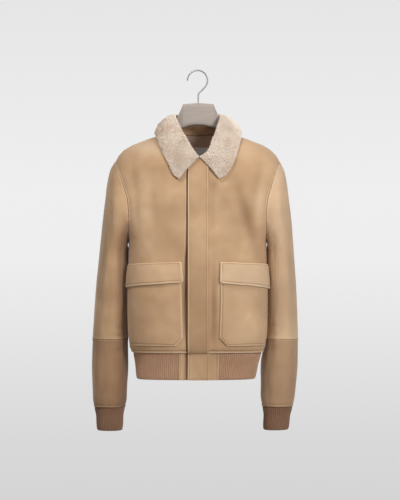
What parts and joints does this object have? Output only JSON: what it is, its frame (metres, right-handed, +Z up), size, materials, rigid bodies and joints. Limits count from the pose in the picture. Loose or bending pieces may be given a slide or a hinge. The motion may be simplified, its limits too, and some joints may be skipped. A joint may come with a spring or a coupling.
{
  "type": "blouson jacket on a hanger",
  "caption": "Suede blouson jacket with a shearling collar, flap pockets and ribbed hem and cuffs, hanging on a broad-shouldered hanger with a wire hook.",
  "frame": {"origin": "the point inside the top of the hook's curve that rests on a rail, in the wire's middle plane", "axes": "+Z up, +Y from the jacket's front to its back, +X towards the wearer's left"},
  "size_m": [0.517, 0.2192, 0.9025],
  "materials": {
    "suede": "matt napped suede",
    "knit": "ribbed knit",
    "shearling": "short dense pile",
    "label": "satin",
    "hanger": "matt taupe lacquer",
    "hook": "polished"
  },
  "bodies": {
    "root": {"front_right": "suede", "front_left": "suede", "back": "suede", "fly_strip": "suede", "pocket_right": "suede", "pocket_left": "suede", "flap_right": "suede", "flap_left": "suede", "sleeve_top_right": "suede", "sleeve_under_right": "suede", "forearm_top_right": "suede", "forearm_under_right": "suede", "sleeve_top_left": "suede", "sleeve_under_left": "suede", "forearm_top_left": "suede", "forearm_under_left": "suede", "cuff_right": "knit", "cuff_left": "knit", "hem_rib": "knit", "hem_tab_right": "suede", "hem_tab_left": "suede", "collar_leaf": "shearling", "collar_stand": "suede", "neck_label": "label", "hanger_body": "hanger", "hook": "hook"}
  },
  "joints": []
}
